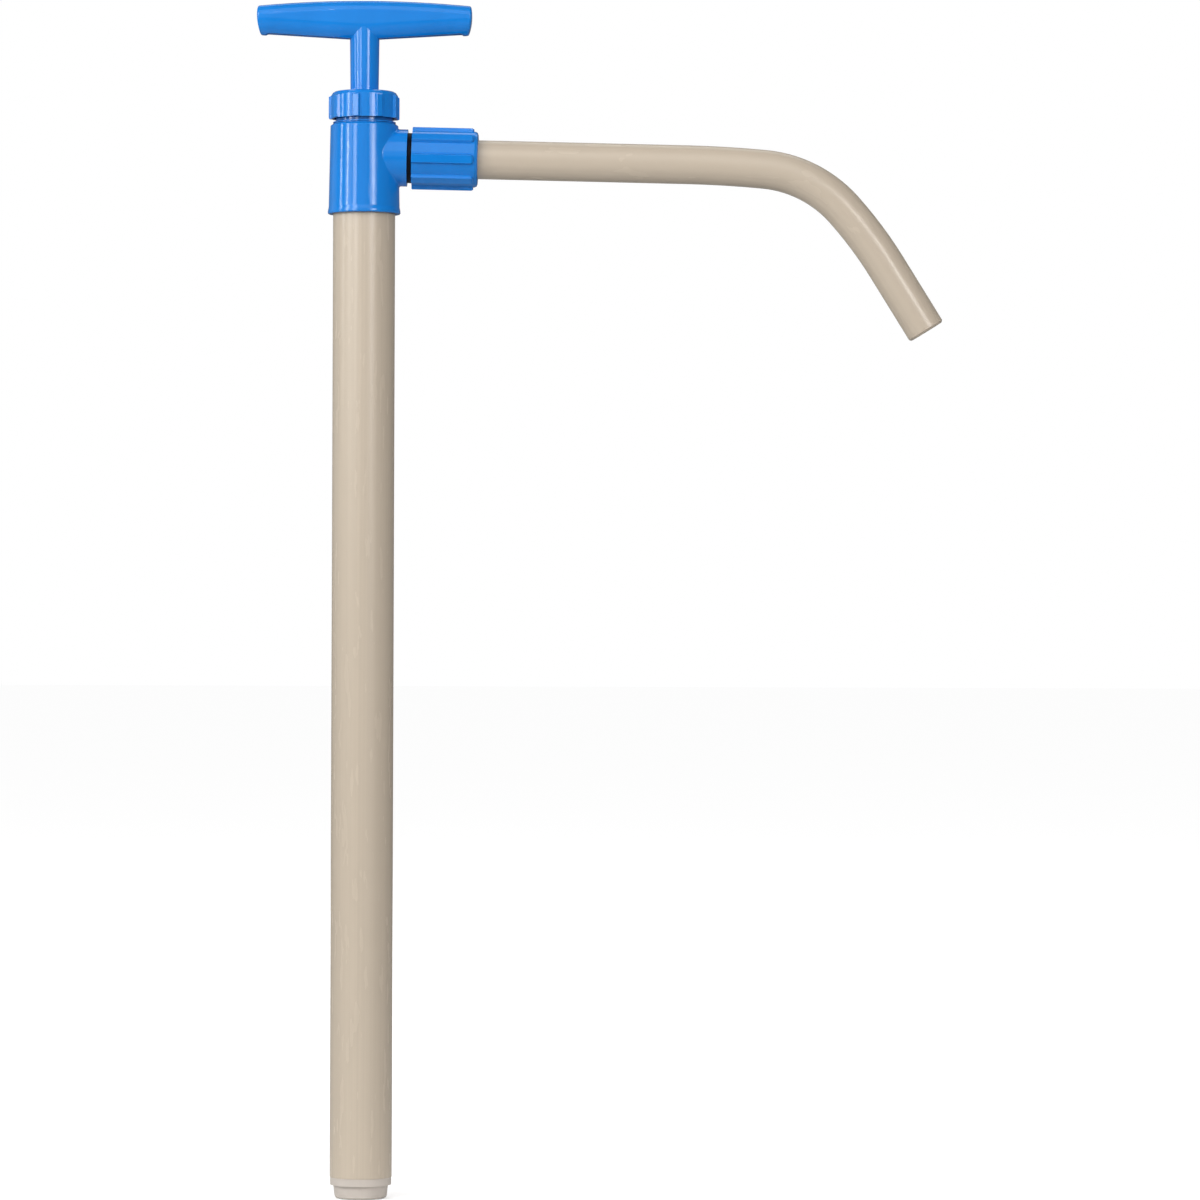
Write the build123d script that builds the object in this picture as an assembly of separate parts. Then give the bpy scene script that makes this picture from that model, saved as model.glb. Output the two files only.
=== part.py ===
from build123d import *
import os
from math import cos, radians, sin, tan

# Hand-operated barrel pump: a dip tube with a T-shaped head, a piston on a rod below a T-handle,
# ball valves in the foot and in the piston, and a bent spout held by a union nut on the side.
# Millimetres, +Z up, origin at the centre of the suction mouth, front towards -Y, spout towards +X.

# ---- pipes -----------------------------------------------------------------------------------
TUBE_R = 16.0
TUBE_BORE_R = 13.1
SPIGOT_R = 15.75  # the tube's top is turned down by this much to enter the head
TUBE_FOOT_Z = 10.8
HEAD_RIM_Z = 507.0
SOCKET_DEPTH = 19.8
TUBE_TOP_Z = HEAD_RIM_Z + SOCKET_DEPTH
SPOUT_R = 10.0
SPOUT_BORE_R = 8.1
ROD_R = 6.0

# ---- gaps ------------------------------------------------------------------------------------
RUNNING = 0.05  # radial, a shaft that turns or slides in its bore
LOOSE = 0.4  # radial, a part that passes freely through a hole
FACE_GAP = 0.05  # axial, between faces that bear on each other
BALL_GAP = 0.25  # between a ball and its seat

# ---- head ------------------------------------------------------------------------------------
HEAD_LOW_R, HEAD_TOP_R = 18.3, 17.5
RIM_R = 18.7  # the bead around the tube socket's mouth
COLLAR_R = 16.2
SHOULDER_Z = 552.3
COLLAR_TOP_Z = 554.4
NECK_THREAD_Z = 557.6
NECK_TOP_Z = 563.5
BRANCH_Z = 536.5
BRANCH_DROOP = 1.177  # degrees below the horizontal
BRANCH_R = 14.7
BRANCH_END = 22.3  # this and the other branch places are measured along the branch axis
BRANCH_NECK_END = 46.0
NECK_UNDERCUT = 2.6  # length of the groove that the dark ring sits in
SPOUT_START = 30.2
SADDLE_ROUND = 0.8

# ---- threads ---------------------------------------------------------------------------------
PITCH = 3.0
NECK_ROOT_R, NECK_CREST_R = 14.7, 15.6
BRANCH_ROOT_R, BRANCH_CREST_R = 12.1, 12.95
STUD_ROOT_R, STUD_CREST_R = 4.2, 4.9
STUD_PITCH = 2.0
STUD_LENGTH = 14.0
STUD_PLAY = 0.08
THREAD_PLAY = 0.35

# ---- union nuts ------------------------------------------------------------------------------
TOP_NUT_Z, TOP_NUT_TOP_Z = 556.1, 570.2
TOP_NUT_ROOF_Z = 567.0
TOP_NUT_CORE_R, TOP_NUT_CREST_R = 17.1, 18.4
SIDE_NUT_START, SIDE_NUT_END = 24.7, 58.7
SIDE_NUT_CORE_R, SIDE_NUT_CREST_R = 14.4, 16.05
SIDE_SEAL_END = 50.0
SIDE_SLIP_END = 51.6
TOP_RIB_COUNT, SIDE_RIB_COUNT = 9, 8
TOP_RIB_WIDTHS, SIDE_RIB_WIDTHS = (3.0, 4.5), (4.2, 5.4)  # at the crest and at the root
TOP_RIB_TURN, SIDE_RIB_TURN = -102, 5  # degrees, where the first rib stands
CREST_ROUND = 0.35

# ---- guide bush ------------------------------------------------------------------------------
BUSH_LOW_Z = 547.0
BUSH_GROOVE_Z, BUSH_GROOVE_R = 555.0, 11.1
POCKET_R, POCKET_ROOF_Z = 9.6, 552.0  # the recess for the rod seal
GLAND_TOP_Z = 548.5
FLANGE_R = 14.5
FLANGE_TOP_Z = 565.7
ROD_TOP_Z = FLANGE_TOP_Z + 2 * FACE_GAP

# ---- piston and stroke -----------------------------------------------------------------------
PISTON_LOW_Z = 44.0
PISTON_TOP_Z = 86.5
PISTON_LAND_R = TUBE_BORE_R - 0.4
PISTON_GROOVE_R = 10.2
PISTON_GROOVE_LOW_Z, PISTON_GROOVE_TOP_Z = 47.0, 52.5
PISTON_LAND_TOP_Z = 56.0
PISTON_SKIRT_R, PISTON_HUB_R = 12.0, 9.2
PISTON_CHAMBER_R = 8.6
PISTON_SEAT_HOLE_R = 8.0
PISTON_WINDOW = 7.5
PISTON_BALL_R = 6.5
PISTON_SEAT_Z = 53.8
PISTON_THROAT_R = 4.2
CHAMBER_ROOF_Z = 69.0

# ---- foot valve ------------------------------------------------------------------------------
MOUTH_R = 7.5
MOUTH_DEPTH = 7.0
FOOT_BALL_R = 7.5
FOOT_SEAT_Z = 13.0
FOOT_THROAT_R = 5.0
FOOT_CHAMBER_R = 10.4
FOOT_LOW_R, FOOT_WAIST_R, FOOT_RIM_R = 13.35, 14.3, 15.75
FOOT_RIM_Z = 6.9
FOOT_GROOVE_Z, FOOT_GROOVE_R = 25.6, 11.6
FOOT_GROOVE_HALF = 1.2
CAGE_LOW_Z = 32.0
FOOT_TOP_Z = 38.0

# ---- handle ----------------------------------------------------------------------------------
GRIP_LENGTH = 110.6
GRIP_DEPTH = 15.5
GRIP_TOP_Z = 616.9
GRIP_UNDER_Z = 596.3
GRIP_LIP, LIP_WALL, LIP_CORNER = 0.8, 3.8, 2.0  # the end walls reach below the long walls
GRIP_FLANK_Z = 604.9  # below this the flanks round inwards
GRIP_UNDER_WIDTH = 4.8
GRIP_CORE_WIDTH = 2.8
GRIP_BULGE_Z = 610.0
GRIP_CROWN_R = 580.0
CROWN_ROUND = 5.5
GRIP_TAPER = 3.4  # degrees that the underside rises towards each end
GRIP_WALL = 3.0
GRIP_END_LEAN = 1.65
GRIP_END_ROUND = 1.2
WEB_X, WEB = 31.0, 1.6  # place and thickness of the webs across the cored hollows
STEM_TOP_R, STEM_LOW_R = 7.6, 7.22
STEM_HOLE_R = STEM_LOW_R + LOOSE + 0.08
STEM_MOUTH = 0.4

# ---- spout bends: radius and turn, in the order the liquid meets them --------------------------
SPOUT_STRAIGHT = 136.0
SPOUT_BENDS = [(566.6, 4.09), (62.9, 42.83), (210.9, 10.05)]
SPOUT_LAST_STRAIGHT = 39.2


def turned(*outline):
    """A solid of revolution about Z from the (radius, height) corners of its half section."""
    face = Plane.XZ * make_face(Polyline(*outline, close=True))
    return revolve(face, Axis.Z)


def ring(outer_r, inner_r, low, high):
    """A plain washer or tube."""
    return turned((inner_r, low), (outer_r, low), (outer_r, high), (inner_r, high))


def disc(radius, low, high):
    """A plain round bar along Z."""
    return Pos(0, 0, low) * Cylinder(radius, high - low, align=(Align.CENTER, Align.CENTER, Align.MIN))


def block(size_x, size_y, low, high):
    """An upright block centred on the Z axis."""
    align = (Align.CENTER, Align.CENTER, Align.MIN)
    return Pos(0, 0, low) * Box(size_x, size_y, high - low, align=align)


def rims(part, radius, height):
    """The circular edges of the given radius at the given height."""
    circles = part.edges().filter_by(GeomType.CIRCLE)
    return [e for e in circles if abs(e.radius - radius) < 0.02 and abs(e.arc_center.Z - height) < 0.02]


def thread_ridge(root_r, crest_r, pitch, low, turns, turned_by=0):
    """A right-hand ridge with sloping flanks; a crest inside its root makes a female thread."""
    bury = 0.25 if crest_r > root_r else -0.25
    start_r = root_r - bury
    half_root, half_crest = 0.36 * pitch, 0.14 * pitch
    depth = crest_r - start_r
    outline = Polyline((0, -half_root), (depth, -half_crest), (depth, half_crest), (0, half_root), close=True)
    section = Plane(origin=(start_r, 0, low), x_dir=(1, 0, 0), z_dir=(0, -1, 0)) * make_face(outline)
    path = Helix(pitch, pitch * turns, start_r, center=(0, 0, low))
    return Rot(0, 0, turned_by) * sweep(section, path=path, is_frenet=True)


def stud(low, high, play=0.0):
    """The threaded end of the rod, or with play the shape of its tapped hole."""
    core = disc(STUD_ROOT_R + play, low - 5 * play, high + 5 * play)
    turns = (high - low - 1.6 * STUD_PITCH) / STUD_PITCH
    start = low + 0.8 * STUD_PITCH
    return core + thread_ridge(STUD_ROOT_R + play, STUD_CREST_R + play, STUD_PITCH, start, turns)


def lower_stud(play=0.0):
    """The rod's thread into the piston."""
    return stud(PISTON_TOP_Z - STUD_LENGTH, PISTON_TOP_Z + 0.5, play)


def upper_stud(play=0.0):
    """The rod's thread into the handle's stem."""
    return stud(ROD_TOP_Z - 0.5, ROD_TOP_Z + STUD_LENGTH, play)


def grip_ribs(count, core_r, crest_r, low, high, widths, end_round, turned_by):
    """Ribs around a nut: trapezoid bars rooted in the core, rounded at the crest and the far end."""
    root_r = core_r - 0.6
    half_crest, half_root = widths[0] / 2, widths[1] / 2
    outline = Polyline(
        (root_r, -half_root), (crest_r, -half_crest), (crest_r, half_crest), (root_r, half_root), close=True
    )
    rib = extrude(Pos(0, 0, low) * make_face(outline), high - low)
    end_edges = rib.edges().group_by(Axis.Z)[-1]
    rib = fillet([e for e in end_edges if abs(e.center().Y) > half_root / 2], end_round)
    crests = [e for e in rib.edges() if e.length > (high - low) / 2 and e.center().X > core_r]
    rib = fillet(crests, CREST_ROUND)
    return [Rot(0, 0, turned_by + 360 / count * i) * rib for i in range(count)]


def on_branch(part):
    """Moves a part built along +Z onto the branch axis, with its +X side to the front."""
    droop = radians(BRANCH_DROOP)
    axis = (cos(droop), 0, -sin(droop))
    return Plane(origin=(0, 0, BRANCH_Z), x_dir=(0, -1, 0), z_dir=axis).location * part


# ---- barrel ----------------------------------------------------------------------------------
def outer_tube():
    """The dip tube: a spigot at the top, and a short witness notch below the head."""
    shoulder_z = HEAD_RIM_Z - 0.1
    tube = turned(
        (TUBE_BORE_R + 0.4, TUBE_FOOT_Z),
        (TUBE_R, TUBE_FOOT_Z),
        (TUBE_R, shoulder_z),
        (SPIGOT_R, shoulder_z),
        (SPIGOT_R, TUBE_TOP_Z - 0.4),
        (SPIGOT_R - 0.4, TUBE_TOP_Z),
        (TUBE_BORE_R, TUBE_TOP_Z),
        (TUBE_BORE_R, TUBE_FOOT_Z + 0.4),
    )
    notch = Pos(-0.6, -TUBE_R, HEAD_RIM_Z - 2.2) * Box(0.6, 0.7, 2.4)
    return tube - notch


def pump_head():
    """The moulded tee: tube socket below, threaded neck on top, threaded branch at the side."""
    socket_r = SPIGOT_R + RUNNING
    shell = turned(
        (TUBE_BORE_R, TUBE_TOP_Z + FACE_GAP),
        (socket_r, TUBE_TOP_Z + FACE_GAP),
        (socket_r, HEAD_RIM_Z + 0.8),
        (socket_r + 0.8, HEAD_RIM_Z),
        (RIM_R - 0.3, HEAD_RIM_Z),
        (RIM_R + 0.05, HEAD_RIM_Z + 0.5),
        (RIM_R, HEAD_RIM_Z + 1.6),
        (HEAD_LOW_R, HEAD_RIM_Z + 3.4),
        (HEAD_TOP_R, SHOULDER_Z),
        (HEAD_TOP_R - 0.25, SHOULDER_Z + 0.3),
        (COLLAR_R + 0.1, SHOULDER_Z + 1.0),
        (COLLAR_R - 0.4, SHOULDER_Z + 1.1),
        (COLLAR_R - 0.4, SHOULDER_Z + 1.4),
        (COLLAR_R, SHOULDER_Z + 1.6),
        (COLLAR_R, COLLAR_TOP_Z - 0.15),
        (COLLAR_R - 0.15, COLLAR_TOP_Z),
        (NECK_ROOT_R, COLLAR_TOP_Z),
        (NECK_ROOT_R, NECK_TOP_Z - 0.6),
        (NECK_ROOT_R - 0.6, NECK_TOP_Z),
        (TUBE_BORE_R, NECK_TOP_Z),
    )
    barrel = on_branch(disc(BRANCH_R, 0, BRANCH_END))
    neck = disc(BRANCH_ROOT_R, 0, BRANCH_NECK_END)
    undercut = ring(BRANCH_ROOT_R + 1, BRANCH_ROOT_R - 0.25, BRANCH_END, BRANCH_END + NECK_UNDERCUT)
    neck = chamfer(rims(neck, BRANCH_ROOT_R, BRANCH_NECK_END), 0.7) - undercut
    neck_thread = thread_ridge(BRANCH_ROOT_R, BRANCH_CREST_R, PITCH, BRANCH_END + 4.3, 5.4)
    main_bore = disc(TUBE_BORE_R, TUBE_TOP_Z, NECK_TOP_Z + 1)
    tube_socket = disc(socket_r, HEAD_RIM_Z + 1, TUBE_TOP_Z + FACE_GAP)
    port = on_branch(disc(SPOUT_BORE_R, 5, BRANCH_NECK_END))
    pipe_socket = on_branch(disc(SPOUT_R + 0.1, SPOUT_START - FACE_GAP, BRANCH_NECK_END + 1))
    outside = shell + disc(TUBE_BORE_R + 1, TUBE_TOP_Z + FACE_GAP, NECK_TOP_Z - 1) + barrel
    saddle = [e for e in outside.edges() if is_saddle(e)]
    outside = fillet(saddle, SADDLE_ROUND)
    outside = outside + on_branch(neck + neck_thread)
    top_thread = thread_ridge(NECK_ROOT_R, NECK_CREST_R, PITCH, NECK_THREAD_Z, 1.5)
    return outside + top_thread - main_bore - tube_socket - port - pipe_socket


def is_saddle(edge):
    """True for the curve where the branch leaves the round body."""
    middle = edge @ 0.5
    box = edge.bounding_box()
    return edge.geom_type not in (GeomType.CIRCLE, GeomType.LINE) and box.size.Z > 5 and middle.X > 0


def guide_bush():
    """The flanged bush in the neck that guides the rod and holds its seal."""
    body_r = TUBE_BORE_R - RUNNING
    return turned(
        (ROD_R + RUNNING, POCKET_ROOF_Z),
        (POCKET_R, POCKET_ROOF_Z),
        (POCKET_R, BUSH_LOW_Z),
        (body_r - 0.6, BUSH_LOW_Z),
        (body_r, BUSH_LOW_Z + 0.6),
        (body_r, BUSH_GROOVE_Z - 1.1),
        (BUSH_GROOVE_R, BUSH_GROOVE_Z - 1.1),
        (BUSH_GROOVE_R, BUSH_GROOVE_Z + 1.1),
        (body_r, BUSH_GROOVE_Z + 1.1),
        (body_r, NECK_TOP_Z + FACE_GAP),
        (FLANGE_R, NECK_TOP_Z + FACE_GAP),
        (FLANGE_R, FLANGE_TOP_Z - 0.4),
        (FLANGE_R - 0.4, FLANGE_TOP_Z),
        (ROD_R + RUNNING + 0.5, FLANGE_TOP_Z),
        (ROD_R + RUNNING, FLANGE_TOP_Z - 0.5),
    )


def bush_oring():
    """The O-ring in the bush's outer groove."""
    section_r = 0.93
    return Pos(0, 0, BUSH_GROOVE_Z) * Torus(BUSH_GROOVE_R + section_r + 0.07, section_r)


def rod_seal():
    """The lip seal that wipes the rod."""
    lip_r, outer_r = ROD_R + RUNNING, POCKET_R - 0.05
    low, top = GLAND_TOP_Z + 0.1, POCKET_ROOF_Z - 0.1
    valley_r = lip_r + 1.55
    return turned(
        (lip_r, top),
        (outer_r, top),
        (outer_r, low),
        (valley_r + 0.7, low),
        (valley_r, low + 1.8),
        (lip_r, low + 0.3),
    )


def gland_washer():
    """The washer pressed into the bush below the seal."""
    return ring(POCKET_R - 0.03, ROD_R + LOOSE, BUSH_LOW_Z, GLAND_TOP_Z)


def branch_ring():
    """The dark ring between the branch shoulder and the side nut."""
    outer_r = BRANCH_ROOT_R + 0.8
    low, high = BRANCH_END + FACE_GAP, BRANCH_END + NECK_UNDERCUT - 0.4
    body = ring(outer_r, BRANCH_ROOT_R - 0.2, low, high)
    return on_branch(fillet(rims(body, outer_r, low) + rims(body, outer_r, high), 0.35))


# ---- union nuts ------------------------------------------------------------------------------
def top_union_nut():
    """The ribbed nut that clamps the bush onto the neck, with the handle's stem through it."""
    core_r, crest_r = TOP_NUT_CORE_R, TOP_NUT_CREST_R
    low, rib_top = TOP_NUT_Z - 1, TOP_NUT_TOP_Z - 2.2
    ribs = grip_ribs(TOP_RIB_COUNT, core_r, crest_r, low, rib_top, TOP_RIB_WIDTHS, 0.6, TOP_RIB_TURN)
    body = disc(core_r, low, TOP_NUT_TOP_Z + 1) + ribs
    envelope = turned(
        (0, TOP_NUT_Z),
        (crest_r - 0.3, TOP_NUT_Z),
        (crest_r + 0.1, TOP_NUT_Z + 0.4),
        (crest_r + 0.1, rib_top - 0.7),
        (core_r, rib_top + 0.2),
        (core_r - 0.7, TOP_NUT_TOP_Z - 0.9),
        (core_r - 1.8, TOP_NUT_TOP_Z - 0.25),
        (core_r - 3.3, TOP_NUT_TOP_Z),
        (0, TOP_NUT_TOP_Z),
    )
    female_root_r, female_crest_r = NECK_CREST_R + THREAD_PLAY, NECK_ROOT_R + THREAD_PLAY
    cavity = turned(
        (0, TOP_NUT_Z - 1),
        (female_root_r + 1.4, TOP_NUT_Z - 1),
        (female_root_r, TOP_NUT_Z + 0.4),
        (female_root_r, TOP_NUT_ROOF_Z - 2),
        (female_crest_r, TOP_NUT_ROOF_Z - 1.4),
        (female_crest_r, TOP_NUT_ROOF_Z),
        (0, TOP_NUT_ROOF_Z),
    )
    thread = thread_ridge(female_root_r, female_crest_r, PITCH, NECK_THREAD_Z, 2.0, 180)
    stem_hole = disc(STEM_HOLE_R, TOP_NUT_ROOF_Z - 1, TOP_NUT_TOP_Z + 1)
    return (body & envelope) - cavity - stem_hole + thread


def top_slip_ring():
    """The washer under the top nut's roof, which rises with the nut but doesn't turn."""
    return ring(FLANGE_R - 0.1, STEM_HOLE_R, FLANGE_TOP_Z + FACE_GAP, TOP_NUT_ROOF_Z - FACE_GAP)


def side_union_nut():
    """The long ribbed nut that clamps the spout's seal onto the branch."""
    core_r, crest_r = SIDE_NUT_CORE_R, SIDE_NUT_CREST_R
    low, rib_end = SIDE_NUT_START - 1, SIDE_NUT_END - 2.2
    ribs = grip_ribs(SIDE_RIB_COUNT, core_r, crest_r, low, rib_end, SIDE_RIB_WIDTHS, 1.5, SIDE_RIB_TURN)
    body = disc(core_r, low, SIDE_NUT_END + 1) + ribs
    envelope = turned(
        (0, SIDE_NUT_START),
        (crest_r - 0.3, SIDE_NUT_START),
        (crest_r + 0.15, SIDE_NUT_START + 0.4),
        (crest_r + 0.15, rib_end - 1.1),
        (crest_r - 0.65, rib_end + 0.1),
        (core_r, rib_end + 0.5),
        (core_r, SIDE_NUT_END - 1.6),
        (core_r - 0.5, SIDE_NUT_END - 0.5),
        (core_r - 1.6, SIDE_NUT_END),
        (0, SIDE_NUT_END),
    )
    female_root_r = BRANCH_CREST_R + THREAD_PLAY
    cavity = turned(
        (0, SIDE_NUT_START - 1),
        (female_root_r + 0.4, SIDE_NUT_START - 1),
        (female_root_r + 0.4, SIDE_NUT_START),
        (female_root_r, SIDE_NUT_START + 0.4),
        (female_root_r, SIDE_SLIP_END + 0.1),
        (11.2, SIDE_SLIP_END + 0.1),
        (SPOUT_R + LOOSE, SIDE_SLIP_END + 2.4),
        (SPOUT_R + LOOSE, SIDE_NUT_END + 1),
        (0, SIDE_NUT_END + 1),
    )
    female_crest_r = BRANCH_ROOT_R + THREAD_PLAY
    thread = thread_ridge(female_root_r, female_crest_r, PITCH, BRANCH_END + 4.3, 4.0, 180)
    return on_branch((body & envelope) - cavity + thread)


def side_slip_ring():
    """The washer that carries the side nut's push to the seal without turning it."""
    return on_branch(ring(13.0, SPOUT_R + LOOSE, SIDE_SEAL_END + 0.1, SIDE_SLIP_END))


# ---- spout -----------------------------------------------------------------------------------
def spout_path():
    """The spout's centre line: straight, three tangent bends downwards, straight."""
    droop = radians(BRANCH_DROOP)
    start = Vector(cos(droop), -sin(droop)) * SPOUT_START + Vector(0, BRANCH_Z)
    pieces = [Line(start, start + Vector(cos(droop), -sin(droop)) * SPOUT_STRAIGHT)]
    for radius, turn in SPOUT_BENDS:
        last = pieces[-1]
        pieces.append(JernArc(last @ 1, last % 1, radius, -turn))
    last = pieces[-1]
    pieces.append(Line(last @ 1, (last @ 1) + (last % 1) * SPOUT_LAST_STRAIGHT))
    return Plane.XZ * Wire([piece.edge() for piece in pieces])


def spout():
    """The bent outlet pipe, chamfered at its mouth."""
    path = spout_path()
    section = Plane(origin=path @ 0, z_dir=path % 0) * (Circle(SPOUT_R) - Circle(SPOUT_BORE_R))
    pipe = sweep(section, path=path)
    mouth = [e for e in pipe.edges().filter_by(GeomType.CIRCLE) if (e.arc_center - path @ 1).length < 0.01]
    outer = [e for e in mouth if abs(e.radius - SPOUT_R) < 0.01]
    return chamfer(outer, 0.9)


def spout_seal():
    """The rubber compression ring squeezed between the branch's end and the slip ring."""
    inner_r, outer_r = SPOUT_R + 0.03, 12.0
    seal = turned(
        (inner_r, BRANCH_NECK_END + FACE_GAP),
        (outer_r - 0.4, BRANCH_NECK_END + FACE_GAP),
        (outer_r, BRANCH_NECK_END + 0.5),
        (outer_r, SIDE_SEAL_END - 1.0),
        (outer_r - 0.8, SIDE_SEAL_END),
        (inner_r, SIDE_SEAL_END),
    )
    return on_branch(seal)


# ---- foot valve ------------------------------------------------------------------------------
def ball_height(ball_r, throat_r, seat_z):
    """Height of a ball's centre when it hangs just clear of a 45 degree seat above the throat."""
    reach = (ball_r + BALL_GAP) / 2**0.5
    return seat_z + (reach - throat_r) + reach


def foot_valve_body():
    """The plug in the tube's foot: suction mouth, throat, ball seat and chamber."""
    spigot_r = TUBE_BORE_R - RUNNING
    body = turned(
        (MOUTH_R, 0),
        (FOOT_LOW_R, 0),
        (FOOT_WAIST_R - 0.3, FOOT_RIM_Z - 1.3),
        (FOOT_WAIST_R, FOOT_RIM_Z - 0.2),
        (FOOT_RIM_R, FOOT_RIM_Z),
        (FOOT_RIM_R, TUBE_FOOT_Z - FACE_GAP),
        (spigot_r, TUBE_FOOT_Z - FACE_GAP),
        (spigot_r, FOOT_GROOVE_Z - FOOT_GROOVE_HALF),
        (FOOT_GROOVE_R, FOOT_GROOVE_Z - FOOT_GROOVE_HALF),
        (FOOT_GROOVE_R, FOOT_GROOVE_Z + FOOT_GROOVE_HALF),
        (spigot_r, FOOT_GROOVE_Z + FOOT_GROOVE_HALF),
        (spigot_r, FOOT_TOP_Z - 0.8),
        (spigot_r - 0.8, FOOT_TOP_Z),
        (FOOT_CHAMBER_R, FOOT_TOP_Z),
        (FOOT_CHAMBER_R, FOOT_SEAT_Z + FOOT_CHAMBER_R - FOOT_THROAT_R),
        (FOOT_THROAT_R, FOOT_SEAT_Z),
        (FOOT_THROAT_R, MOUTH_DEPTH + 1.5),
        (MOUTH_R, MOUTH_DEPTH),
    )
    return fillet(rims(body, FOOT_LOW_R, 0), 1.5)


def foot_valve_oring():
    """The O-ring that seals the foot plug in the tube."""
    section_r = 0.7
    return Pos(0, 0, FOOT_GROOVE_Z) * Torus(FOOT_GROOVE_R + section_r + 0.03, section_r)


def foot_valve_ball():
    """The suction ball."""
    return Pos(0, 0, ball_height(FOOT_BALL_R, FOOT_THROAT_R, FOOT_SEAT_Z)) * Sphere(FOOT_BALL_R)


def foot_ball_cage():
    """The ring with a cross that stops the suction ball's lift."""
    cage = ring(FOOT_CHAMBER_R - RUNNING, FOOT_CHAMBER_R - 2.0, CAGE_LOW_Z, FOOT_TOP_Z)
    length, thick = 2 * FOOT_CHAMBER_R - 2.8, 2.4
    low, high = CAGE_LOW_Z + 0.2, CAGE_LOW_Z + 3.0
    return cage + block(length, thick, low, high) + block(thick, length, low, high)


# ---- piston ----------------------------------------------------------------------------------
def piston_body():
    """The piston: a grooved land, a windowed ball chamber and a hub that takes the rod."""
    land_r = PISTON_LAND_R
    skirt_top_z = CHAMBER_ROOF_Z + 1.6
    body = turned(
        (PISTON_SEAT_HOLE_R, PISTON_LOW_Z),
        (land_r - 0.6, PISTON_LOW_Z),
        (land_r, PISTON_LOW_Z + 0.6),
        (land_r, PISTON_GROOVE_LOW_Z),
        (PISTON_GROOVE_R, PISTON_GROOVE_LOW_Z),
        (PISTON_GROOVE_R, PISTON_GROOVE_TOP_Z),
        (land_r, PISTON_GROOVE_TOP_Z),
        (land_r, PISTON_LAND_TOP_Z - 0.6),
        (land_r - 0.6, PISTON_LAND_TOP_Z),
        (PISTON_SKIRT_R, PISTON_LAND_TOP_Z),
        (PISTON_SKIRT_R, skirt_top_z),
        (PISTON_HUB_R, skirt_top_z + PISTON_SKIRT_R - PISTON_HUB_R),
        (PISTON_HUB_R, PISTON_TOP_Z - 0.5),
        (PISTON_HUB_R - 0.5, PISTON_TOP_Z),
        (0, PISTON_TOP_Z),
        (0, CHAMBER_ROOF_Z),
        (PISTON_CHAMBER_R, CHAMBER_ROOF_Z),
        (PISTON_CHAMBER_R, PISTON_LAND_TOP_Z + 1.4),
        (PISTON_SEAT_HOLE_R, PISTON_LAND_TOP_Z + 0.8),
    )
    span, wide = 3 * PISTON_GROOVE_R, PISTON_WINDOW
    low, high = PISTON_LAND_TOP_Z + 2.6, CHAMBER_ROOF_Z - 0.6
    windows = block(span, wide, low, high) + block(wide, span, low, high)
    return body - windows - lower_stud(STUD_PLAY)


def piston_valve_seat():
    """The seat ring pressed into the piston from below."""
    outer_r = PISTON_SEAT_HOLE_R - 0.05
    low, lead_in = PISTON_LOW_Z + 0.2, 1.2
    depth = 2.7
    return turned(
        (PISTON_THROAT_R, low + lead_in),
        (PISTON_THROAT_R + lead_in, low),
        (outer_r, low),
        (outer_r, PISTON_SEAT_Z + depth),
        (PISTON_THROAT_R + depth, PISTON_SEAT_Z + depth),
        (PISTON_THROAT_R, PISTON_SEAT_Z),
    )


def piston_ball():
    """The discharge ball inside the piston."""
    return Pos(0, 0, ball_height(PISTON_BALL_R, PISTON_THROAT_R, PISTON_SEAT_Z)) * Sphere(PISTON_BALL_R)


def piston_ring():
    """The lip ring that seals the piston in the tube."""
    seal_r, inner_r = TUBE_BORE_R - RUNNING, PISTON_GROOVE_R + RUNNING
    low, top = PISTON_GROOVE_LOW_Z + 0.1, PISTON_GROOVE_TOP_Z - 0.1
    valley_z = low + 2.7
    return turned(
        (inner_r, low),
        (seal_r - 0.5, low),
        (seal_r - 0.5, low + 1.5),
        (seal_r, low + 3.5),
        (seal_r, top),
        (seal_r - 0.7, top),
        (seal_r - 1.4, valley_z),
        (inner_r + 0.9, valley_z),
        (inner_r + 0.9, top),
        (inner_r, top),
    )


def piston_rod():
    """The rod, with a threaded stud at each end."""
    rod = disc(ROD_R, PISTON_TOP_Z + FACE_GAP, ROD_TOP_Z)
    rod = chamfer(rims(rod, ROD_R, PISTON_TOP_Z + FACE_GAP) + rims(rod, ROD_R, ROD_TOP_Z), 0.4)
    return rod + lower_stud() + upper_stud()


# ---- handle ----------------------------------------------------------------------------------
def crown_z(x):
    """Height of the grip's arched top at a distance from its middle."""
    return GRIP_TOP_Z - GRIP_CROWN_R + (GRIP_CROWN_R**2 - x**2) ** 0.5


def under_z(x):
    """Height of the grip's tapering underside at a distance from its middle."""
    return GRIP_UNDER_Z + abs(x) * tan(radians(GRIP_TAPER))


def grip_outline():
    """The grip seen from the front: arched top, tapering underside, bulging ends."""
    end = GRIP_LENGTH / 2
    foot = end - GRIP_END_LEAN
    corner = end - 0.3
    top = ThreePointArc((-corner, crown_z(end)), (0, GRIP_TOP_Z), (corner, crown_z(end)))
    right = ThreePointArc((corner, crown_z(end)), (end, GRIP_BULGE_Z), (foot, under_z(foot)))
    left = ThreePointArc((-corner, crown_z(end)), (-end, GRIP_BULGE_Z), (-foot, under_z(foot)))
    bottom = Polyline((foot, under_z(foot)), (foot, 590), (-foot, 590), (-foot, under_z(foot)))
    return make_face(top + right + bottom + left)


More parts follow.
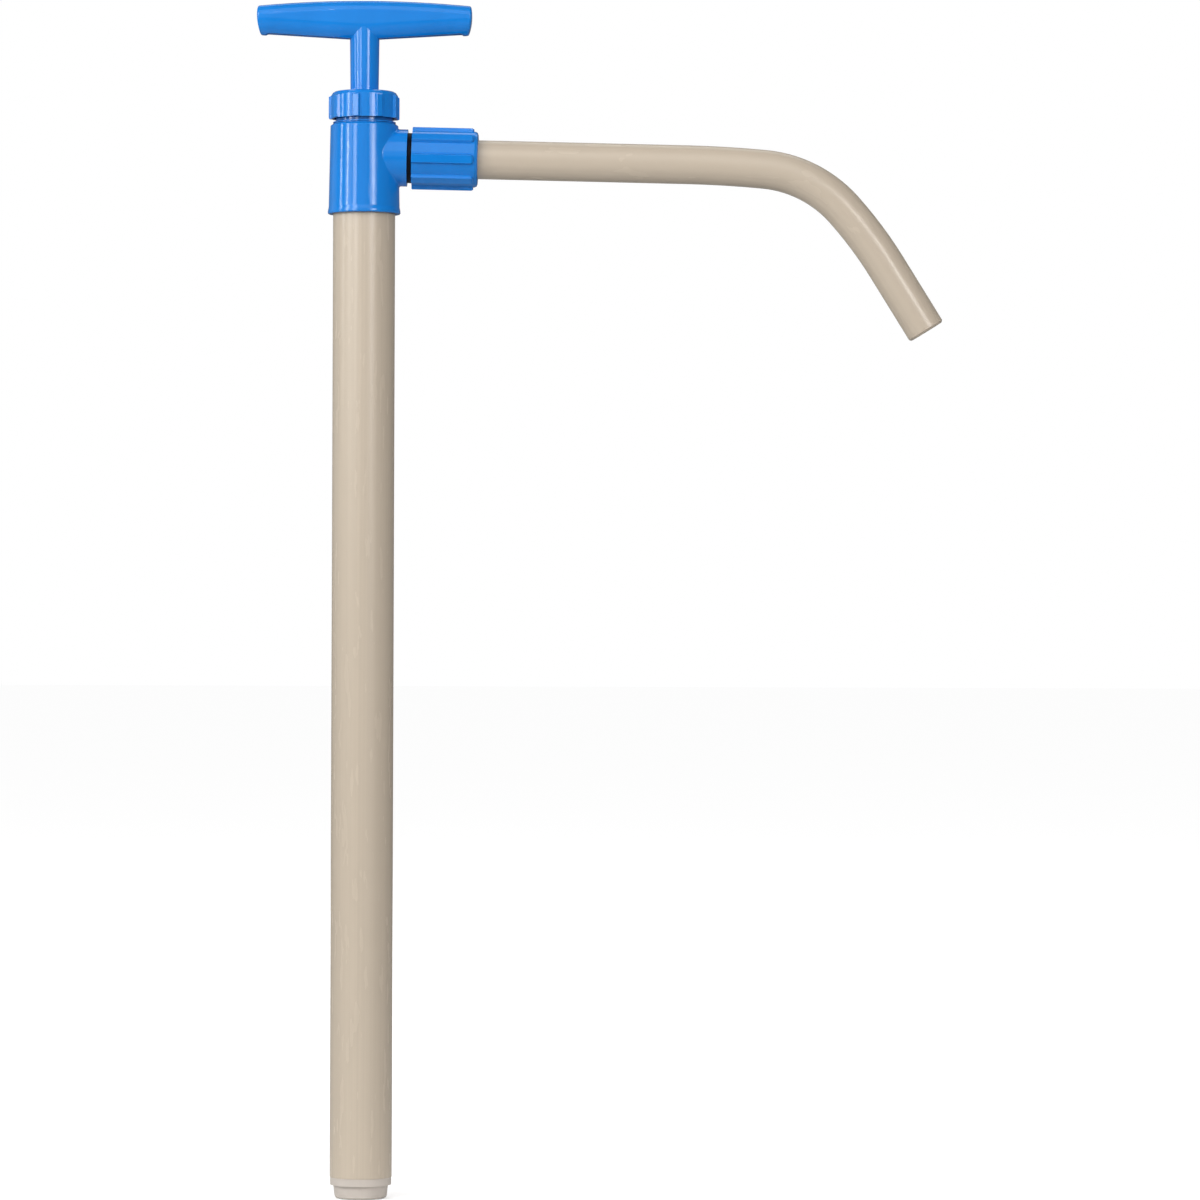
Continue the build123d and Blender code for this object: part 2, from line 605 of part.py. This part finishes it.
def grip_section():
    """The grip cut across its middle: upright flanks that round inwards below, open-topped here."""
    flank, narrow = GRIP_DEPTH / 2, GRIP_UNDER_WIDTH / 2
    sides = Polyline((-flank, GRIP_FLANK_Z), (-flank, 630), (flank, 630), (flank, GRIP_FLANK_Z))
    front = TangentArc((flank, GRIP_FLANK_Z), (narrow, GRIP_UNDER_Z), tangent=(0, -1))
    back = TangentArc((-flank, GRIP_FLANK_Z), (-narrow, GRIP_UNDER_Z), tangent=(0, -1))
    under = Line((narrow, GRIP_UNDER_Z), (-narrow, GRIP_UNDER_Z))
    return Plane.YZ * make_face(sides + front + under + back)


def grip_channels():
    """The two hollows cored into the grip from below, each crossed by a thin web."""
    inner_x, outer_x = STEM_TOP_R + 0.9, GRIP_LENGTH / 2 - GRIP_WALL
    channels = []
    for side in (1, -1):
        for low_x, high_x in ((inner_x, WEB_X - WEB / 2), (WEB_X + WEB / 2, outer_x)):
            outline = Polyline(
                (side * low_x, 590),
                (side * high_x, 590),
                (side * high_x, crown_z(high_x) - GRIP_WALL),
                (side * low_x, crown_z(low_x) - GRIP_WALL),
                close=True,
            )
            channel = extrude(Plane.XZ * make_face(outline), GRIP_CORE_WIDTH / 2, both=True)
            channels.append(fillet(channel.edges().filter_by(Axis.Z), 0.4 * GRIP_CORE_WIDTH))
        gap = Pos(side * WEB_X, 0, 0) * block(3 * WEB, GRIP_CORE_WIDTH, 590, under_z(WEB_X) + 3.0)
        channels.append(gap)
    return channels


def lip_relief(side):
    """What is cut from the grip's underside on one side, up to a round corner at the end wall."""
    outer_x = GRIP_LENGTH / 2 - LIP_WALL
    outline = Polyline(
        (0, 590),
        (side * outer_x, 590),
        (side * outer_x, under_z(outer_x) + GRIP_LIP),
        (0, under_z(0) + GRIP_LIP),
        close=True,
    )
    relief = extrude(Plane.XZ * make_face(outline), GRIP_DEPTH, both=True)
    top_corner = [e for e in relief.edges() if e.length > 2 * GRIP_DEPTH - 0.1 and e.center().Z > 595]
    end_corner = sorted(top_corner, key=lambda e: side * e.center().X)[-1]
    return fillet(end_corner, LIP_CORNER)


def handle():
    """The T-handle: an arched grip cored from below, on a slightly tapered stem."""
    bar = extrude(Plane.XZ * grip_outline(), GRIP_DEPTH / 2, both=True)
    crown = [e for e in bar.edges() if abs(abs(e.center().Y) - GRIP_DEPTH / 2) < 0.1 and e.center().Z > 612]
    bar = fillet(crown, CROWN_ROUND)
    rise = radians(GRIP_TAPER)
    halves = [bar & extrude(grip_section(), 60, dir=(side * cos(rise), 0, sin(rise))) for side in (1, -1)]
    grip = halves[0] + halves[1] - lip_relief(1) - lip_relief(-1)
    ends = grip.faces().sort_by(Axis.X)
    grip = fillet(ends[0].edges() + ends[-1].edges(), GRIP_END_ROUND)
    stem_low_z = ROD_TOP_Z + FACE_GAP
    stem = turned(
        (0, stem_low_z),
        (STEM_LOW_R - STEM_MOUTH, stem_low_z),
        (STEM_LOW_R, stem_low_z + STEM_MOUTH),
        (STEM_TOP_R, under_z(0) + GRIP_LIP),
        (STEM_TOP_R, under_z(0) + 10),
        (0, under_z(0) + 10),
    )
    return grip + stem - grip_channels() - upper_stud(STUD_PLAY)


PARTS = [
    outer_tube,
    pump_head,
    guide_bush,
    bush_oring,
    rod_seal,
    gland_washer,
    branch_ring,
    top_union_nut,
    top_slip_ring,
    side_union_nut,
    side_slip_ring,
    spout,
    spout_seal,
    foot_valve_body,
    foot_valve_oring,
    foot_valve_ball,
    foot_ball_cage,
    piston_body,
    piston_valve_seat,
    piston_ball,
    piston_ring,
    piston_rod,
    handle,
]

os.makedirs("parts", exist_ok=True)
for make in PARTS:
    part = make()
    print(f"{make.__name__:20s} {len(part.solids())} solid, {part.volume:9.1f} mm3, valid {part.is_valid}")
    export_step(part, f"parts/{make.__name__}.step")
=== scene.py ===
from math import cos, radians, sin

import bpy
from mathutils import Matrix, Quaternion, Vector


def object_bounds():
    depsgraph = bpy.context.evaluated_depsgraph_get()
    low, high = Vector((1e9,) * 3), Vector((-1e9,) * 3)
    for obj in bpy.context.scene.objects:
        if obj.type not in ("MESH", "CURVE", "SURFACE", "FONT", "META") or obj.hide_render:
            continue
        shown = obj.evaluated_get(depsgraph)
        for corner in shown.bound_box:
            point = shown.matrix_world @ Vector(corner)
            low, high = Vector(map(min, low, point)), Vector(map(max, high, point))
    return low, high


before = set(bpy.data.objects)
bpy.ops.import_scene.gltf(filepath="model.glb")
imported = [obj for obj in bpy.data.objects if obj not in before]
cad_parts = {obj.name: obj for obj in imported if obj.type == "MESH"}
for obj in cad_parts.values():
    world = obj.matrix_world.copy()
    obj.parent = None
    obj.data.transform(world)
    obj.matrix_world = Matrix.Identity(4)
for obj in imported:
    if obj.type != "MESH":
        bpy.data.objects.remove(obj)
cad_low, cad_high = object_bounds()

# ---- driving values, in metres; the frame gives where things are ---------------------------------
centre_x = (cad_low.x + cad_high.x) / 2
height = cad_high.z - cad_low.z

LENS, SENSOR = 155, 36  # in millimetres: a long lens
EYE = Vector((centre_x + 0.0008, -4.320 * height, 0.4652 * height))
LOOK_AT = Vector((centre_x + 0.0008, 0, 0.4997 * height))
LEAN = radians(0.187)  # how far the pump leans clockwise in the picture

LAMPS_AIM = Vector((centre_x * 0.3, 0, height * 0.73))  # towards the head, a little down the tube
SKY_LEFT, SKY_RIGHT = 0.22, 0.16  # how bright the surroundings are as a light, on either side
FLOOR_HALF = 30  # half the floor's width, far past all that the camera sees
FLOOR_GAP = 0.0002  # the foot stands this far above the floor, so that the two faces don't fight

WHITE = (1, 1, 1)
WARM = (1, 0.97, 0.96)
BLUE_DEEP, BLUE_BRIGHT = (0.004, 0.214, 0.70), (0.007, 0.253, 0.80)
# the worn blue lightens scuffed edges; the deep blue beside it is painted shade for tight creases
BLUE_WORN, BLUE_PAINTED_SHADE = (0.10, 0.36, 0.84), (0.002, 0.05, 0.22)
BEIGE_PALE, BEIGE_DARK = (0.63, 0.543, 0.432), (0.60, 0.513, 0.408)
FOOT_GREY = (0.66, 0.60, 0.54)
NATURAL, ROD_TAN, BALL_WHITE = (0.80, 0.79, 0.75), (0.68, 0.63, 0.54), (0.85, 0.85, 0.83)
RUBBER_DARK, RUBBER_BLOOM = (0.001, 0.002, 0.008), (0.004, 0.006, 0.014)
UPRIGHT, ARM = (1, 1, 0.004), (0.004, 1, 0.004)  # scales that draw a grain out along each pipe
MICRON = 0.000001  # a bump's depth is given in these


# ---- camera ----------------------------------------------------------------------------------------
def make_camera():
    """A long lens, level with the middle of the tube, that frames the whole pump."""
    data = bpy.data.cameras.new("camera")
    data.lens = LENS
    data.sensor_width = SENSOR
    camera = bpy.data.objects.new("camera", data)
    camera.location = EYE
    camera.rotation_mode = "QUATERNION"
    facing = (LOOK_AT - EYE).to_track_quat("-Z", "Y")
    camera.rotation_quaternion = facing @ Quaternion((0, 0, 1), LEAN)
    bpy.context.scene.collection.objects.link(camera)
    bpy.context.scene.camera = camera


# ---- node kit --------------------------------------------------------------------------------------
def map_range(nodes, links, value, low, high, to_low, to_high):
    """value mapped from low..high to to_low..to_high, held at the ends."""
    node = nodes.new("ShaderNodeMapRange")
    links.new(value, node.inputs["Value"])
    ends = {"From Min": low, "From Max": high, "To Min": to_low, "To Max": to_high}
    for name, number in ends.items():
        node.inputs[name].default_value = number
    return node.outputs["Result"]


def camera_only(nodes, links, seen, otherwise, output):
    """Shows one shader to the camera and uses another for light and reflections."""
    path = nodes.new("ShaderNodeLightPath")
    mix = nodes.new("ShaderNodeMixShader")
    links.new(path.outputs["Is Camera Ray"], mix.inputs["Fac"])
    links.new(otherwise, mix.inputs[1])
    links.new(seen, mix.inputs[2])
    links.new(mix.outputs["Shader"], output.inputs["Surface"])


class Finish:
    """A material with one Principled shader and short calls for the nodes that feed it."""

    def __init__(self, name, **settings):
        self.material = bpy.data.materials.new(name)
        self.material.use_nodes = True
        self.nodes = self.material.node_tree.nodes
        self.links = self.material.node_tree.links
        self.shader = self.nodes["Principled BSDF"]
        for socket, value in settings.items():
            self.shader.inputs[socket.replace("_", " ")].default_value = value
        self.place = self.nodes.new("ShaderNodeTexCoord").outputs["Object"]
        self.relief = None

    def stretched(self, scale):
        """The place on the pump, in metres, scaled along each axis."""
        node = self.nodes.new("ShaderNodeMapping")
        node.inputs["Scale"].default_value = scale
        self.links.new(self.place, node.inputs["Vector"])
        return node.outputs["Vector"]

    def noise(self, scale, detail=4.0, stretch=(1, 1, 1)):
        """Noise with features about 1 / scale metres across."""
        node = self.nodes.new("ShaderNodeTexNoise")
        node.inputs["Scale"].default_value = scale
        node.inputs["Detail"].default_value = detail
        self.links.new(self.stretched(stretch), node.inputs["Vector"])
        return node.outputs["Fac"]

    def ranged(self, value, low, high, to_low=0.0, to_high=1.0):
        """value mapped from low..high to to_low..to_high, held at the ends."""
        return map_range(self.nodes, self.links, value, low, high, to_low, to_high)

    def maths(self, operation, first, second):
        """One sum on two values, each a socket or a number."""
        node = self.nodes.new("ShaderNodeMath")
        node.operation = operation
        for socket, value in zip(node.inputs, (first, second)):
            if isinstance(value, (int, float)):
                socket.default_value = value
            else:
                self.links.new(value, socket)
        return node.outputs["Value"]

    def mixed(self, amount, first, second):
        """Two colours, each a socket or a triple, mixed by amount."""
        node = self.nodes.new("ShaderNodeMix")
        node.data_type = "RGBA"
        self.links.new(amount, node.inputs["Factor"])
        for socket, value in zip((node.inputs[6], node.inputs[7]), (first, second)):
            if isinstance(value, tuple):
                socket.default_value = (*value, 1)
            else:
                self.links.new(value, socket)
        return node.outputs[2]

    def edges(self, radius):
        """1 along edges that stand out, 0 on open surfaces, by how far a rounding bends the normal."""
        bevel = self.nodes.new("ShaderNodeBevel")
        bevel.samples = 4
        bevel.inputs["Radius"].default_value = radius
        geometry = self.nodes.new("ShaderNodeNewGeometry")
        dot = self.nodes.new("ShaderNodeVectorMath")
        dot.operation = "DOT_PRODUCT"
        self.links.new(bevel.outputs["Normal"], dot.inputs[0])
        self.links.new(geometry.outputs["Normal"], dot.inputs[1])
        return self.ranged(dot.outputs["Value"], 0.99, 0.80)

    def creases(self, reach):
        """1 in tight gaps no wider than about the reach, 0 in the open: the mask where shade is painted
        in.
        """
        node = self.nodes.new("ShaderNodeAmbientOcclusion")
        node.samples = 8
        node.inputs["Distance"].default_value = reach
        return self.ranged(node.outputs["AO"], 0.2, 0.7, 1.0, 0.0)

    def colour(self, socket):
        self.links.new(socket, self.shader.inputs["Base Color"])

    def roughness(self, socket):
        self.links.new(socket, self.shader.inputs["Roughness"])

    def bump(self, value, depth):
        """Adds a relief of the given depth in metres over the value's 0..1 range."""
        node = self.nodes.new("ShaderNodeBump")
        node.inputs["Strength"].default_value = 1.0
        node.inputs["Distance"].default_value = depth
        self.links.new(value, node.inputs["Height"])
        if self.relief is not None:
            self.links.new(self.relief, node.inputs["Normal"])
        self.relief = node.outputs["Normal"]
        self.links.new(self.relief, self.shader.inputs["Normal"])


def shaded(colour, factor):
    """A colour made darker or lighter."""
    return tuple(channel * factor for channel in colour)


def grey(level):
    """A colour with no hue."""
    return (level, level, level)


# ---- studio ----------------------------------------------------------------------------------------
def softbox(name, azimuth, distance, low, high, width, power, colour=WHITE, mirrored=True):
    """An upright lamp between two heights; azimuth 0 is beside the camera, positive to its right.

    One that isn't mirrored only lights things, and doesn't show in a glossy surface.
    """
    turn = radians(azimuth)
    across, depth = sin(turn) * distance, -cos(turn) * distance
    place = Vector((LAMPS_AIM.x + across, depth, (low + high) / 2))
    data = bpy.data.lights.new(name, "AREA")
    data.shape = "RECTANGLE"
    data.size, data.size_y = width, high - low
    data.energy = power
    data.color = colour
    lamp = bpy.data.objects.new(name, data)
    lamp.location = place
    lamp.rotation_mode = "QUATERNION"
    lamp.rotation_quaternion = (LAMPS_AIM - place).to_track_quat("-Z", "Y")
    lamp.visible_glossy = mirrored
    bpy.context.scene.collection.objects.link(lamp)


def make_lamps():
    """On the left the broad sheen and its streaks, on the right a strip, above and behind soft fills."""
    # name, azimuth in degrees, then distance, lower edge, upper edge and width in metres, watts
    softbox("key_left", -30, 1.4, 0.50, 1.30, 0.30, 4.2)
    softbox("panel_left", -52, 1.4, 0.42, 1.25, 0.61, 2.8)
    softbox("strip_left", -55, 2.2, 0.70, 1.90, 0.14, 9)
    softbox("strip_far_left", -80, 1.5, 0.50, 1.30, 0.12, 3)
    softbox("rim_left", -115, 2.0, 0.30, 1.50, 1.00, 1.2)
    softbox("strip_right", 32, 2.6, 0.60, 1.70, 0.38, 8, WARM)
    softbox("halo_right", 31, 2.7, 0.60, 1.70, 1.10, 14, WARM)
    softbox("front", -2, 3.6, 0.50, 2.20, 2.00, 4.0)
    softbox("fill_top", -5, 2.3, 1.50, 3.70, 3.40, 24)
    softbox("overhead", 180, 1.5, 2.30, 3.10, 2.40, 8)
    softbox("back", 184, 2.2, 1.50, 2.90, 2.40, 24, mirrored=False)


def floor_paper():
    """White paper that glows into the white beyond; as a light, it is bright only near the foot."""
    finish = Finish("studio_floor", Roughness=0.9)
    finish.colour(finish.mixed(finish.noise(3, 2), grey(0.90), grey(0.93)))
    finish.roughness(finish.ranged(finish.noise(40), 0.3, 0.7, 0.85, 0.95))
    reach = finish.nodes.new("ShaderNodeVectorMath")
    reach.operation = "LENGTH"
    finish.links.new(finish.place, reach.inputs[0])
    from_foot = reach.outputs["Value"]
    glow = finish.ranged(from_foot, 0.2, 2.5, 0.42, 0.80)
    finish.shader.inputs["Emission Color"].default_value = (*WHITE, 1)
    finish.links.new(glow, finish.shader.inputs["Emission Strength"])
    near = finish.ranged(from_foot, 0.05, 0.30, 1.0, 0.0)
    bounce = finish.nodes.new("ShaderNodeBsdfDiffuse")
    tint = finish.mixed(near, grey(0.45), grey(0.80))
    finish.links.new(tint, bounce.inputs["Color"])
    seen, otherwise = finish.shader.outputs["BSDF"], bounce.outputs["BSDF"]
    camera_only(finish.nodes, finish.links, seen, otherwise, finish.nodes["Material Output"])
    return finish.material


def make_floor():
    """A wide flat floor under the foot."""
    far = FLOOR_HALF
    corners = [(-far, -far, 0), (far, -far, 0), (far, far, 0), (-far, far, 0)]
    mesh = bpy.data.meshes.new("floor")
    mesh.from_pydata(corners, [], [(0, 1, 2, 3)])
    floor = bpy.data.objects.new("floor", mesh)
    bpy.context.scene.collection.objects.link(floor)
    floor.location.z = cad_low.z - FLOOR_GAP
    floor.data.materials.append(floor_paper())


def make_sky():
    """White where the camera looks; as a light, brighter from the left than from the right."""
    world = bpy.data.worlds.new("sky")
    world.use_nodes = True
    nodes, links = world.node_tree.nodes, world.node_tree.links
    direction = nodes.new("ShaderNodeTexCoord")
    axes = nodes.new("ShaderNodeSeparateXYZ")
    links.new(direction.outputs["Generated"], axes.inputs["Vector"])
    strength = map_range(nodes, links, axes.outputs["X"], -0.6, 0.7, SKY_LEFT, SKY_RIGHT)
    lit = nodes["Background"]
    lit.inputs["Color"].default_value = (*WHITE, 1)
    links.new(strength, lit.inputs["Strength"])
    seen = nodes.new("ShaderNodeBackground")
    seen.inputs["Color"].default_value = (*WHITE, 1)
    seen.inputs["Strength"].default_value = 1.0
    shown, otherwise = seen.outputs["Background"], lit.outputs["Background"]
    camera_only(nodes, links, shown, otherwise, nodes["World Output"])
    bpy.context.scene.world = world


# ---- the pump's materials --------------------------------------------------------------------------
def blue_plastic(name):
    """Glossy moulded polypropylene: slight flow marks, fine orange peel, a few hairline scuffs, and
    painted shade in tight creases.
    """
    finish = Finish(name, IOR=1.49)
    flow = finish.noise(45, 3, (1, 1, 0.35))
    body = finish.mixed(finish.ranged(flow, 0.3, 0.7), BLUE_DEEP, BLUE_BRIGHT)
    patchy = finish.ranged(finish.noise(300), 0.35, 0.65, 0.15, 0.5)
    worn = finish.maths("MULTIPLY", finish.edges(0.0005), patchy)
    edged = finish.mixed(worn, body, BLUE_WORN)
    # painted shade: the colour darkens to a deep blue in tight gaps and creases, where shade falls
    finish.colour(finish.mixed(finish.creases(0.003), edged, BLUE_PAINTED_SHADE))
    scuffs = finish.ranged(finish.noise(220, 2, (6, 6, 0.4)), 0.62, 0.74)
    gloss = finish.ranged(finish.noise(160), 0.3, 0.7, 0.10, 0.15)
    finish.roughness(finish.maths("ADD", gloss, finish.maths("MULTIPLY", scuffs, 0.10)))
    finish.bump(finish.noise(700, 3), 12 * MICRON)
    finish.bump(scuffs, 8 * MICRON)
    return finish.material


def pipe_plastic(name, along):
    """Satin extruded pipe: die lines along its length, faint clouds, light handling marks."""
    finish = Finish(name, IOR=1.49)
    calm = tuple(0.15 + 0.85 * scale for scale in along)
    clouds = finish.ranged(finish.noise(14, 2, calm), 0.1, 0.9)
    lines = finish.noise(900, 2, along)
    body = finish.mixed(clouds, BEIGE_DARK, BEIGE_PALE)
    lined = finish.ranged(lines, 0.35, 0.65, 0.0, 0.22)
    streaked = finish.mixed(lined, body, shaded(BEIGE_DARK, 0.86))
    rubbed = finish.ranged(finish.noise(60, 5, calm), 0.50, 0.80, 0.0, 0.03)
    finish.colour(finish.mixed(rubbed, streaked, shaded(BEIGE_PALE, 1.10)))
    grain = finish.noise(260, 3, calm)
    finish.roughness(finish.ranged(grain, 0.3, 0.7, 0.25, 0.28))
    finish.bump(lines, 10 * MICRON)
    finish.bump(grain, 5 * MICRON)
    return finish.material


def plain_plastic(name, colour, low_rough, high_rough):
    """Machined or moulded natural plastic with faint tool rings."""
    finish = Finish(name, IOR=1.45)
    shade = finish.ranged(finish.noise(60, 4), 0.3, 0.7)
    finish.colour(finish.mixed(shade, shaded(colour, 0.9), colour))
    finish.roughness(finish.ranged(finish.noise(200), 0.3, 0.7, low_rough, high_rough))
    finish.bump(finish.noise(900, 1, (0.05, 0.05, 1)), 8 * MICRON)
    finish.bump(finish.noise(500, 3), 6 * MICRON)
    return finish.material


def black_rubber():
    """Matt black rubber with a dusty bloom."""
    finish = Finish("rubber_black", IOR=1.5, Specular_IOR_Level=0.2)
    bloom = finish.ranged(finish.noise(180, 4), 0.45, 0.7)
    finish.colour(finish.mixed(bloom, RUBBER_DARK, RUBBER_BLOOM))
    finish.roughness(finish.ranged(finish.noise(90), 0.3, 0.7, 0.45, 0.62))
    finish.bump(finish.noise(1500, 3), 15 * MICRON)
    return finish.material


def dress(material, *names):
    """Gives CAD nodes a material."""
    for name in names:
        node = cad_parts[name]
        node.data.materials.clear()
        node.data.materials.append(material)


# ---- the scene -------------------------------------------------------------------------------------
make_camera()
make_lamps()
make_floor()
make_sky()
bpy.context.scene.view_settings.view_transform = "Standard"  # colours as they are, so white is white

dress(blue_plastic("plastic_blue_handle"), "handle")
dress(blue_plastic("plastic_blue_head"), "pump_head")
dress(blue_plastic("plastic_blue_nut"), "top_union_nut", "side_union_nut")
dress(pipe_plastic("pipe_beige_tube", UPRIGHT), "outer_tube")
dress(pipe_plastic("pipe_beige_spout", ARM), "spout")
dress(plain_plastic("plastic_foot", FOOT_GREY, 0.40, 0.52), "foot_valve_body")
dress(plain_plastic("plastic_natural", NATURAL, 0.35, 0.50),
      "guide_bush", "gland_washer", "top_slip_ring", "side_slip_ring",
      "foot_ball_cage", "piston_body", "piston_valve_seat")
dress(plain_plastic("plastic_rod", ROD_TAN, 0.25, 0.38), "piston_rod")
dress(plain_plastic("plastic_ball", BALL_WHITE, 0.15, 0.25), "foot_valve_ball", "piston_ball")
dress(black_rubber(),
      "branch_ring", "spout_seal", "bush_oring", "rod_seal", "foot_valve_oring", "piston_ring")
